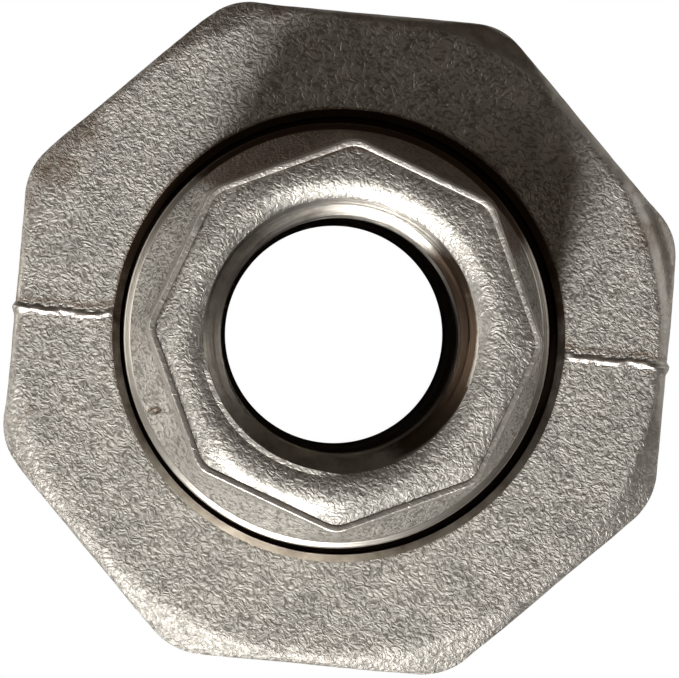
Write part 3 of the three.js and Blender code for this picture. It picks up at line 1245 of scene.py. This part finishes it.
def add_light(name, bearing, height, distance, size, power, colour, target):
    """An area light of a given size, seen from the target at a bearing and a height."""
    lamp = bpy.data.lights.new(name, "AREA")
    lamp.shape = "DISK"
    lamp.size = size
    lamp.energy = power
    lamp.color = colour
    light = bpy.data.objects.new(name, lamp)
    bpy.context.scene.collection.objects.link(light)
    away = Vector(
        (math.cos(bearing) * math.cos(height), math.sin(bearing) * math.cos(height), math.sin(height))
    )
    light.matrix_world = aimed(target + away * distance, target, Vector((0, 0, 1)))
    return light


def white_to_the_camera(tree, otherwise, white):
    """Mixes two shaders: white where the camera looks straight at the surface, and the other elsewhere."""
    path = add_node(tree, "ShaderNodeLightPath")
    return add_node(
        tree, "ShaderNodeMixShader", {"i0": (path, "Is Camera Ray"), "i1": otherwise, "i2": white}
    )


def make_room():
    """The room round the union: white behind it, and a dim warm glow from above in its reflections."""
    world = bpy.data.worlds.new("room")
    world.use_nodes = True
    tree = world.node_tree
    tree.nodes.clear()
    white = add_node(tree, "ShaderNodeBackground", Color=(1, 1, 1, 1), Strength=1.0)
    sky = add_node(tree, "ShaderNodeTexCoord")
    rise = add_node(tree, "ShaderNodeSeparateXYZ", {"Vector": (sky, "Generated")})
    glow = add_node(
        tree, "ShaderNodeMapRange", {"Value": (rise, "Z")}, From_Min=0.25, To_Min=0.015, To_Max=0.15
    )
    dim = add_node(tree, "ShaderNodeBackground", {"Strength": glow}, Color=linear("#ffe4d0"))
    add_node(tree, "ShaderNodeOutputWorld", {"Surface": white_to_the_camera(tree, dim, white)})
    return world


def make_floor(height):
    """A pale matt floor, white to the camera as the room is, and clear from below."""
    material = bpy.data.materials.new("pale_floor")
    material.use_nodes = True
    tree = material.node_tree
    tree.nodes.clear()
    white = add_node(tree, "ShaderNodeEmission", Color=(1, 1, 1, 1), Strength=1.0)
    matt = add_node(tree, "ShaderNodeBsdfDiffuse", Color=linear("#c4c2be"))
    top = white_to_the_camera(tree, matt, white)
    side = add_node(tree, "ShaderNodeNewGeometry")
    clear = add_node(tree, "ShaderNodeBsdfTransparent")
    both = add_node(tree, "ShaderNodeMixShader", {"i0": (side, "Backfacing"), "i1": top, "i2": clear})
    add_node(tree, "ShaderNodeOutputMaterial", {"Surface": both})
    half = 0.6
    corners = [(-half, -half, 0), (half, -half, 0), (half, half, 0), (-half, half, 0)]
    mesh = bpy.data.meshes.new("floor")
    mesh.from_pydata(corners, [], [(0, 1, 2, 3)])
    mesh.materials.append(material)
    floor = bpy.data.objects.new("floor", mesh)
    floor.location.z = height
    return floor


class UNION_OT_set_stage(bpy.types.Operator):
    """Sets the pale floor, the lights and the camera"""

    bl_idname = "union.set_stage"
    bl_label = "Stage"

    def execute(self, context):
        stage = context.scene.union_stage
        scene = context.scene
        scene.view_settings.view_transform = "Standard"
        scene.world = make_room()
        low, high = CAD_BOX
        below = 0.2 * MM
        floor = make_floor(low.z - below)
        scene.collection.objects.link(floor)
        floor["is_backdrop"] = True

        # A broad key light, and two low side lights that draw the flats' edges.
        target = Vector((0, 0, high.z))
        key = (stage.key_bearing, stage.key_height, 0.6, 0.16, stage.key_power, (1, 1, 1))
        add_light("key", *key, target)
        for name, bearing, power in (("left", 176, 1.3), ("right", 12, 0.4)):
            side = (math.radians(bearing), math.radians(4), 0.5, 0.35, power, (1, 0.98, 0.95))
            add_light(name, *side, target)

        camera = bpy.data.objects.new("camera", bpy.data.cameras.new("camera"))
        scene.collection.objects.link(camera)
        camera.data.lens = stage.lens
        camera.data.sensor_width = 36
        camera.data.clip_start, camera.data.clip_end = 0.01, 10
        aim = Vector((-0.116 * MM, -0.23 * MM, high.z))
        place = Vector((-5.66 * MM, 1.1 * MM, high.z + 0.45))
        camera.matrix_world = aimed(place, aim)
        scene.camera = camera
        return {"FINISHED"}


class UNION_PT_pieces(bpy.types.Panel):
    """Lists the pieces of the union"""

    bl_idname = "UNION_PT_pieces"
    bl_label = "Pipe union"
    bl_space_type = "VIEW_3D"
    bl_region_type = "UI"
    bl_category = "Pipe union"

    def draw(self, context):
        for operator in OPERATORS:
            self.layout.operator(operator.bl_idname)
        for name, settings in SETTINGS.items():
            group = getattr(context.scene, name)
            for key in settings.__annotations__:
                self.layout.prop(group, key)


OPERATORS = (
    UNION_OT_cast_head,
    UNION_OT_mould_gasket,
    UNION_OT_cast_tail,
    UNION_OT_cast_nut,
    UNION_OT_set_stage,
)
SETTINGS = {
    "union_threads": ThreadSizes,
    "union_hub": HubSizes,
    "union_nut": NutSizes,
    "union_finishes": Finishes,
    "union_stage": StageSettings,
}


def register():
    for cls in (*SETTINGS.values(), *OPERATORS, UNION_PT_pieces):
        bpy.utils.register_class(cls)
    for name, settings in SETTINGS.items():
        setattr(bpy.types.Scene, name, PointerProperty(type=settings))


def unregister():
    for name in SETTINGS:
        delattr(bpy.types.Scene, name)
    for cls in (UNION_PT_pieces, *reversed(OPERATORS), *reversed(SETTINGS.values())):
        bpy.utils.unregister_class(cls)


def main():
    register()
    bpy.ops.union.cast_head()
    bpy.ops.union.mould_gasket()
    bpy.ops.union.cast_tail()
    bpy.ops.union.cast_nut()
    bpy.ops.union.set_stage()
    [[list(corner) for corner in box] for box in (CAD_BOX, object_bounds())]


if __name__ == "__main__":
    main()
